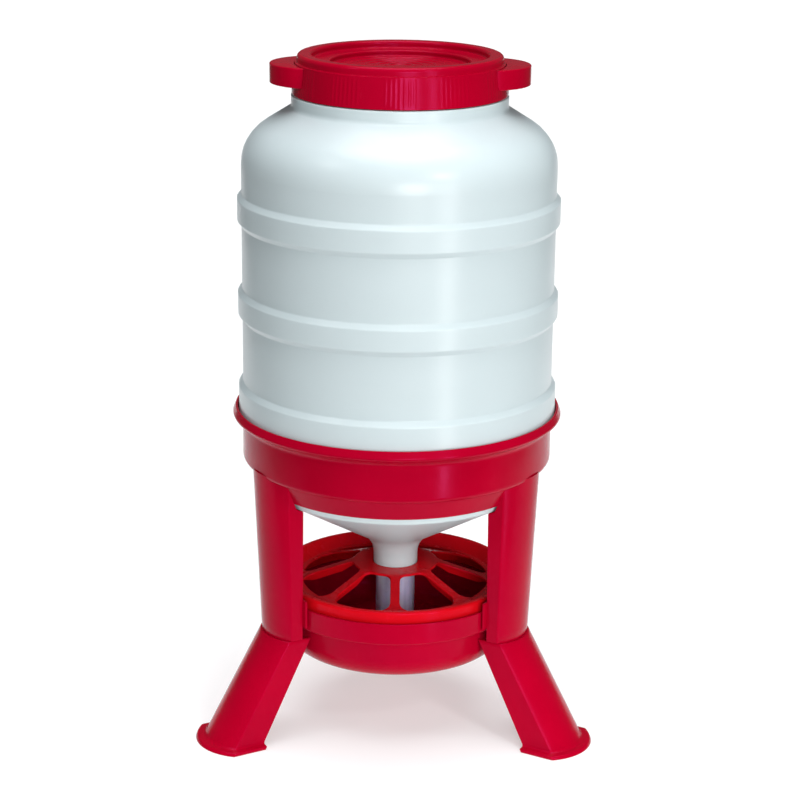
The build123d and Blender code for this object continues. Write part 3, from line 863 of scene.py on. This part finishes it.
def make_collar():
    """Ring with a rolled lip, and a pair of screw bosses at each leg."""
    surface = Surface()
    outline = shell_outline(COLLAR_OUTLINE, COLLAR_WALL, COLLAR_EDGE)
    surface.turn(outline, even_angles(BODY_STEPS))
    for name in LEG_ANGLES:
        first = len(surface.points)
        for b in (-BOSS_B, BOSS_B):
            post(surface, COLLAR_BOSS_A, b, COLLAR_BOSS_BOTTOM, COLLAR_BOSS_TOP)
        surface.turn_leg(name, first)
    surface.piece("collar", "stand", "red_plastic", RED, "collar_ring")


# ---------------------------------------------------------------- legs

def leg_path(centre, half_width, back, shrink, fillet_r):
    """Path of a leg's section, drawn in by shrink, from one back edge round to the other."""
    arc_r, half = LEG_ARC_R - shrink, half_width - shrink
    fillet_a = centre + sqrt((arc_r - fillet_r) ** 2 - (half - fillet_r) ** 2)
    fillet_b = -half + fillet_r
    edge = atan2(fillet_b, fillet_a - centre)
    side = [(back + (fillet_a - back) * share, -half) for share in LEG_SIDE_SHARES]
    for k in range(LEG_FILLET_STEPS + 1):
        angle = -pi / 2 + (edge + pi / 2) * k / LEG_FILLET_STEPS
        side.append((fillet_a + fillet_r * cos(angle), fillet_b + fillet_r * sin(angle)))
    front = []
    for k in range(1, LEG_ARC_STEPS):
        angle = edge - 2 * edge * k / LEG_ARC_STEPS
        front.append((centre + arc_r * cos(angle), arc_r * sin(angle)))
    return side + front + [(a, -b) for a, b in reversed(side)]


def channel_ring(centre, half_width, back, shrink, wall, z, ceiling=None):
    """Closed ring round a channel's wall at a height, under an optional ceiling."""
    outer = leg_path(centre, half_width, back, shrink, LEG_EDGE_FILLET)
    inner = leg_path(centre, half_width, back, wall, LEG_INNER_FILLET)
    points = outer + inner[::-1]
    if ceiling is None:
        return [(a, b, z) for a, b in points]
    return [(a, b, min(z, ceiling(hypot(a, b)))) for a, b in points]


def upright_at(z):
    """Arc centre and half width of an upright at a height."""
    share = (z - UPRIGHT_BOTTOM) / (UPRIGHT_TOP - UPRIGHT_BOTTOM)
    return blend(UPRIGHT_CENTRES, share), blend(UPRIGHT_HALF_WIDTHS, share)


def under_collar(radius):
    """Height at which the drum's cone or the ring stops an upright."""
    if radius < COLLAR_OUTLINE[0][0]:
        return cone_z(radius) - UPRIGHT_TOP_GAP
    edge_r, edge_z, fillet_r = COLLAR_OUTLINE[2]
    fillet_start = edge_r - fillet_r
    if radius > fillet_start:
        off = min(radius - fillet_start, fillet_r)
        return edge_z + fillet_r - sqrt(fillet_r**2 - off**2) + UPRIGHT_LIP_OVERLAP
    for (r0, z0, _), (r1, z1, _) in zip(COLLAR_OUTLINE, COLLAR_OUTLINE[1:3]):
        if radius <= r1:
            break
    return z0 + (z1 - z0) * (radius - r0) / (r1 - r0) + UPRIGHT_SKIRT_OVERLAP


def cap_channel(surface, ring):
    """Closes the end of a channel's wall with a strip between its outer and inner paths."""
    base, size = len(surface.points), len(ring)
    surface.points += ring
    for k in range(size // 2 - 1):
        surface.faces.append((base + k, base + k + 1, base + size - 2 - k, base + size - 1 - k))


def channel(surface, rings):
    """Closed wall of a channel over its rings."""
    surface.loft(rings)
    cap_channel(surface, rings[0])
    cap_channel(surface, rings[-1])


def filled_stretch(surface, section_at, low, high, back, shrink):
    """Plate that fills a leg's section between two heights."""
    rings = []
    for z in (low, high):
        centre, half_width = section_at(z)
        ring = leg_path(centre, half_width, back, shrink, LEG_PLATE_FILLET)
        rings.append([(a, b, z) for a, b in ring])
    surface.loft(rings, caps=True)


def make_upright(name):
    """Channel with rounded front edges, two webs and two bosses over its foot."""
    surface = Surface()
    rings = []
    edge_top = UPRIGHT_BOTTOM + LEG_END_EDGE
    heights = [UPRIGHT_BOTTOM, UPRIGHT_BOTTOM + LEG_END_EDGE_MIDDLE[0], edge_top]
    heights += [edge_top + UPRIGHT_RING_STEP * k for k in range(1, UPRIGHT_RING_COUNT + 1)]
    for z in (*heights, UPRIGHT_TOP):
        centre, half_width = upright_at(z)
        shrink = max(0.0, LEG_END_EDGE - (z - UPRIGHT_BOTTOM)) * UPRIGHT_END_SLOPE
        ring = channel_ring(centre, half_width, LEG_BACK_A, shrink, LEG_WALL, z, under_collar)
        rings.append(ring)
    channel(surface, rings)
    for low, high in UPRIGHT_WEBS:
        filled_stretch(surface, upright_at, low, high, LEG_BACK_A, LEG_WALL / 2)
    for b in (-BOSS_B, BOSS_B):
        post(surface, FOOT_BOSS_A, b, UPRIGHT_BOTTOM, FOOT_BOSS_TOP, SCREW_HOLE_R)
    surface.turn_leg(name)
    surface.piece(f"post_{name}", "stand", "red_plastic", RED, f"upright_{name}")


def foot_at(z):
    """Arc centre, half width and back of a foot at a height."""
    share = z / FOOT_TOP
    return blend(FOOT_CENTRES, share), blend(FOOT_HALF_WIDTHS, share), blend(FOOT_BACKS, share)


def foot_profile():
    """Heights of a foot's rings, each with how far its outer face stands proud."""
    rim, top, edge, cove = FOOT_RIM_WIDTH, FOOT_RIM_HEIGHT, LEG_END_EDGE, FOOT_RIM_COVE
    rise, cut = LEG_END_EDGE_MIDDLE
    cove_start = top + FOOT_RIM_COVE_RISE
    rings = [(0, rim - edge), (rise, rim - cut), (edge, rim)]
    rings += [(top - edge, rim), (top - rise, rim - cut), (top, rim - edge), (cove_start, cove)]
    for k in range(1, EDGE_STEPS + 1):
        angle = pi / 2 * k / EDGE_STEPS
        rings.append((cove_start + cove * (1 - cos(angle)), cove * (1 - sin(angle))))
    rings += [(FOOT_RINGS_START + FOOT_RING_STEP * k, 0.0) for k in range(FOOT_RING_COUNT)]
    return rings + [(FOOT_TOP - edge, 0.0), (FOOT_TOP - rise, -cut), (FOOT_TOP, -edge)]


def make_foot(name):
    """Splayed channel with a rounded rim at the floor, a top plate and a tongue."""
    surface = Surface()
    rings = []
    for z, proud in foot_profile():
        centre, half_width, back = foot_at(z)
        rings.append(channel_ring(centre, half_width, back, -proud, FOOT_WALL, z))
    channel(surface, rings)

    def section(z):
        return foot_at(z)[:2]

    low, high = FOOT_TOP - FOOT_PLATE, FOOT_TOP - FOOT_PLATE_SINK
    filled_stretch(surface, section, low, high, FOOT_PLATE_BACK, FOOT_WALL / 2)
    inner = TONGUE_INSET + TONGUE_WALL
    tongue = []
    for z in (TONGUE_BOTTOM, TONGUE_TOP):
        centre, half_width = upright_at(z)
        tongue.append(channel_ring(centre, half_width, TONGUE_BACK_A, TONGUE_INSET, inner, z))
    channel(surface, tongue)
    surface.turn_leg(name)
    surface.piece(f"splayed_foot_{name}", "stand", "red_plastic", RED, f"foot_{name}")


# ---------------------------------------------------------------- pan and grille

def make_pan():
    """Trough with a raised centre, and a broad band with a flat and a lug at each leg."""
    surface = Surface()
    surface.turn(shell_outline(PAN_OUTLINE, PAN_WALL, PAN_EDGE), even_angles(BODY_STEPS))
    for k, (x, y, z) in enumerate(surface.points):
        for angle in LEG_ANGLES.values():
            c, s = cos(radians(angle)), sin(radians(angle))
            a, b = x * c + y * s, y * c - x * s
            if a > PAN_FLAT_A and abs(b) < LUG_HALF_WIDTH:
                surface.points[k] = (PAN_FLAT_A * c - b * s, PAN_FLAT_A * s + b * c, z)
    width = (-LUG_HALF_WIDTH, LUG_HALF_WIDTH)
    for name in LEG_ANGLES:
        first = len(surface.points)
        slab(surface, (LUG_INNER_A, LEG_BACK_A), width, LUG_HEIGHTS, LUG_EDGE)
        surface.turn_leg(name, first)
    surface.piece("feed_pan", "stand", "red_plastic", RED, "pan")


def height_at(outline):
    """Function that gives the height of a run of (radius, height) points at a radius."""
    run = sorted(outline)

    def height(radius):
        for (r0, z0), (r1, z1) in zip(run, run[1:]):
            if r0 <= radius <= r1:
                return z0 + (z1 - z0) * (radius - r0) / max(r1 - r0, TINY)
        return run[0][1] if radius < run[0][0] else run[-1][1]

    return height


def wide_fillet(before, corner, after, radius):
    """Rounded corner next to short chords: the chord directions are kept, not their lengths."""
    b = Vector(corner)
    u = (Vector(before[:2]) - b).normalized() * FAR
    v = (Vector(after[:2]) - b).normalized() * FAR
    return corner_points(b + u, b, b + v, radius, OPENING_FILLET_STEP)[1:-1]


def without_repeats(points):
    """Outline without repeated points."""
    kept = []
    for p in points:
        if not kept or hypot(p[0] - kept[-1][0], p[1] - kept[-1][1]) > SAME_POINT:
            kept.append(p)
    return kept


def opening_outline():
    """Rounded outline of the opening between two spokes, drawn along +X."""
    half_step = 180 / SPOKE_COUNT
    corners = []
    for side in (1, 0):
        radius, steps = OPENING_RADII[side], OPENING_ARC_STEPS[side]
        reach = radians(half_step - degrees(asin(SPOKE_WIDTH / 2 / radius)))
        start = -reach if side else reach
        for k in range(steps + 1):
            angle = start - 2 * start * k / steps
            fillet_r = OPENING_CORNERS[side] if k in (0, steps) else 0
            corners.append((radius * cos(angle), radius * sin(angle), fillet_r))
    points = []
    for k, (x, y, fillet_r) in enumerate(corners):
        before, after = corners[k - 1], corners[(k + 1) % len(corners)]
        points += wide_fillet(before, (x, y), after, fillet_r) if fillet_r else [(x, y)]
    return without_repeats(points)


def ray_hit(origin, direction, outline):
    """Point where a ray leaves a closed outline."""
    best = None
    ox, oy = origin
    dx, dy = direction
    for (x0, y0), (x1, y1) in zip(outline, outline[1:] + outline[:1]):
        ex, ey = x1 - x0, y1 - y0
        cross = dx * ey - dy * ex
        if abs(cross) < PARALLEL:
            continue
        t = ((x0 - ox) * ey - (y0 - oy) * ex) / cross
        s = ((x0 - ox) * dy - (y0 - oy) * dx) / cross
        if t > 0 and -TINY <= s <= 1 + TINY and (best is None or t > best):
            best = t
    return ox + dx * best, oy + dy * best


def cell_border():
    """Border of one spoke-to-spoke cell, as points at even angles and even radii."""
    half = pi / SPOKE_COUNT
    low_r, high_r = SPOKE_CELL_RADII
    around, across = SPOKE_CELL_STEPS
    points = []
    for k in range(around):
        angle = -half + 2 * half * k / around
        points.append((high_r * cos(angle), high_r * sin(angle)))
    for k in range(across):
        radius = high_r + (low_r - high_r) * k / across
        points.append((radius * cos(half), radius * sin(half)))
    for k in range(around):
        angle = half - 2 * half * k / around
        points.append((low_r * cos(angle), low_r * sin(angle)))
    for k in range(across):
        radius = low_r + (high_r - low_r) * k / across
        points.append((radius * cos(half), -radius * sin(half)))
    return points


def grille_cell(surface, top, under):
    """One cell of the grille: plate round an opening whose edges are rounded."""
    border = cell_border()
    hole = opening_outline()
    cx, cy = OPENING_RAY_CENTRE
    rim = [ray_hit((cx, cy), (x - cx, y - cy), hole) for x, y in border]

    def ring(face, gap, rise):
        """Ring at a gap from the opening's rim, on the face and raised from it."""
        points = []
        for (hx, hy), (bx, by) in zip(rim, border):
            share = min(1.0, gap / hypot(bx - hx, by - hy))
            x, y = hx + (bx - hx) * share, hy + (by - hy) * share
            points.append((x, y, face(hypot(x, y)) + rise))
        return points

    edge = OPENING_EDGE
    rings = [ring(top, FAR, 0)]
    rings += [ring(top, support * edge, 0) for support in OPENING_SUPPORTS]
    for k in range(OPENING_EDGE_STEPS + 1):
        angle = pi / 2 * k / OPENING_EDGE_STEPS
        rings.append(ring(top, edge * (1 - sin(angle)), -edge * (1 - cos(angle))))
    rings += [ring(under, 0, OPENING_BREAK), ring(under, OPENING_BREAK, 0), ring(under, FAR, 0)]
    surface.loft(rings)


def open_loft(surface, rings):
    """Skin over a full turn of open strips."""
    base, size = len(surface.points), len(rings[0])
    for ring in rings:
        surface.points += ring
    for k in range(len(rings)):
        low, high = base + k * size, base + (k + 1) % len(rings) * size
        for i in range(size - 1):
            surface.faces.append((low + i, low + i + 1, high + i + 1, high + i))


def spoke_rib(surface, under):
    """Rib below one spoke, shallower at its ends and narrower at its lower edge."""
    half = SPOKE_RIB_WIDTH / 2
    foot = half * SPOKE_RIB_TAPER
    loops = []
    for k in range(SPOKE_RIB_STEPS + 1):
        r = blend(SPOKE_RIB_RADII, k / SPOKE_RIB_STEPS)
        share = SPOKE_RIB_END_DEPTH + min(k, SPOKE_RIB_STEPS - k) * SPOKE_RIB_DEEPENING
        high, low = under(r) + SPOKE_RIB_SINK, under(r) - SPOKE_RIB_DEPTH * min(1.0, share)
        loops.append([(r, -half, high), (r, -foot, low), (r, foot, low), (r, half, high)])
    surface.loft(loops, caps=True)


def make_grille():
    """Anti-waste grille: hub, eight spokes with ribs below, rolled rim and deep skirt."""
    surface = Surface()
    upper = rounded(GRILLE_OUTLINE, False)
    lower = rounded(inset(GRILLE_OUTLINE, GRILLE_WALL), False)
    top = height_at([p for p in upper if p[0] < PLATE_LIMITS[0]])
    under = height_at([p for p in lower if p[0] < PLATE_LIMITS[1]])
    for k in range(SPOKE_COUNT):
        first = len(surface.points)
        grille_cell(surface, top, under)
        surface.spin(2 * pi * (k + 0.5) / SPOKE_COUNT, first)
    low_r, high_r = SPOKE_CELL_RADII
    rim_upper = [p for p in upper if p[0] > high_r]
    rim_lower = [p for p in lower if p[0] > high_r]
    rim = [(high_r, top(high_r)), *reversed(rim_upper), *rim_lower, (high_r, under(high_r))]
    hub_upper = [p for p in upper if p[0] < low_r]
    hub_lower = [p for p in lower if p[0] < low_r]
    hub = [(low_r, top(low_r)), *hub_upper, *reversed(hub_lower), (low_r, under(low_r))]
    for strip in (rim, hub):
        rings = []
        for angle in even_angles(SPOKE_CELL_STEPS[0] * SPOKE_COUNT):
            rings.append([(r * cos(angle), r * sin(angle), z) for r, z in strip])
        open_loft(surface, rings)
    for k in range(SPOKE_COUNT):
        first = len(surface.points)
        spoke_rib(surface, under)
        surface.spin(2 * pi * k / SPOKE_COUNT, first)
    surface.piece("anti_waste_grille", "grille", "grille_plastic", GRILLE_RED, "grille")


def make_tube():
    """Feed tube with rounded ends."""
    surface = Surface()
    inner = TUBE_R - TUBE_WALL
    corners = [
        (inner, TUBE_BOTTOM, TUBE_EDGE),
        (TUBE_R, TUBE_BOTTOM, TUBE_EDGE),
        (TUBE_R, TUBE_TOP, TUBE_EDGE),
        (inner, TUBE_TOP, TUBE_EDGE),
    ]
    surface.turn(rounded(corners, True), even_angles(TUBE_STEPS))
    surface.piece("setting_tube", "tube", "tube_plastic", TUBE, "feed_tube")


# ---------------------------------------------------------------- stage, lights and camera

def make_floor():
    """Pale floor, as staging, only as wide as the camera's view of it."""
    mesh = bpy.data.meshes.new("floor")
    (front, front_y), (back, back_y) = FLOOR_FRONT, FLOOR_BACK
    corners = [(-front, front_y, 0), (front, front_y, 0), (back, back_y, 0), (-back, back_y, 0)]
    mesh.from_pydata(corners, [], [(0, 1, 2, 3)])
    mesh.materials.append(floor_material())
    floor = bpy.data.objects.new("studio_floor", mesh)
    bpy.context.scene.collection.objects.link(floor)


def softbox(name, azimuth, elevation, distance, size, power, target_z):
    """Area light that faces a point on the axis."""
    light = bpy.data.lights.new(name, "AREA")
    light.shape = "RECTANGLE"
    light.size, light.size_y = size
    light.energy = power
    lamp = bpy.data.objects.new(name, light)
    a, e = radians(azimuth), radians(elevation)
    away = Vector((sin(a) * cos(e), -cos(a) * cos(e), sin(e)))
    lamp.location = Vector((0, 0, target_z)) + away * distance
    lamp.rotation_euler = away.to_track_quat("Z", "Y").to_euler()
    bpy.context.scene.collection.objects.link(lamp)


def make_world():
    """Soft surround, brighter in front and above than at the sides and behind."""
    world = bpy.data.worlds.new("studio")
    world.use_nodes = True
    tree = world.node_tree
    background = tree.nodes["Background"]
    direction = tree.nodes.new("ShaderNodeTexCoord").outputs["Generated"]
    parts = tree.nodes.new("ShaderNodeSeparateXYZ")
    tree.links.new(direction, parts.inputs["Vector"])
    shares = []
    for axis, numbers in SURROUND:
        share = tree.nodes.new("ShaderNodeMapRange")
        for socket, number in zip(("From Min", "From Max", "To Min", "To Max"), numbers):
            share.inputs[socket].default_value = number
        tree.links.new(parts.outputs[axis], share.inputs["Value"])
        shares.append(share.outputs["Result"])
    total = tree.nodes.new("ShaderNodeMath")
    total.operation = "ADD"
    for share, socket in zip(shares, total.inputs):
        tree.links.new(share, socket)
    tree.links.new(total.outputs["Value"], background.inputs["Strength"])
    background.inputs["Color"].default_value = SURROUND_COLOUR
    bpy.context.scene.world = world


def make_camera():
    """Camera at the viewing angle of the object's portrait."""
    camera = bpy.data.objects.new("camera", bpy.data.cameras.new("camera"))
    camera.data.sensor_width = CAMERA_SENSOR
    camera.data.lens = CAMERA_LENS
    camera.matrix_world = (
        Matrix.Translation(CAMERA_PLACE)
        @ Matrix.Rotation(pi / 2 - CAMERA_PITCH, 4, "X")
        @ Matrix.Rotation(CAMERA_ROLL, 4, "Z")
    )
    bpy.context.scene.collection.objects.link(camera)
    bpy.context.scene.camera = camera


make_hopper()
make_lid()
make_gasket()
make_collar()
for leg in LEG_ANGLES:
    make_upright(leg)
    make_foot(leg)
make_pan()
make_grille()
make_tube()
for node in ("collar_screws", "foot_screws", "pan_screws"):
    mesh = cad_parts[node].data
    mesh.materials.clear()
    mesh.materials.append(STEEL)

make_floor()
make_world()
for lamp_values in SOFTBOXES:
    softbox(*lamp_values)
make_camera()
bpy.context.scene.view_settings.view_transform = "Standard"
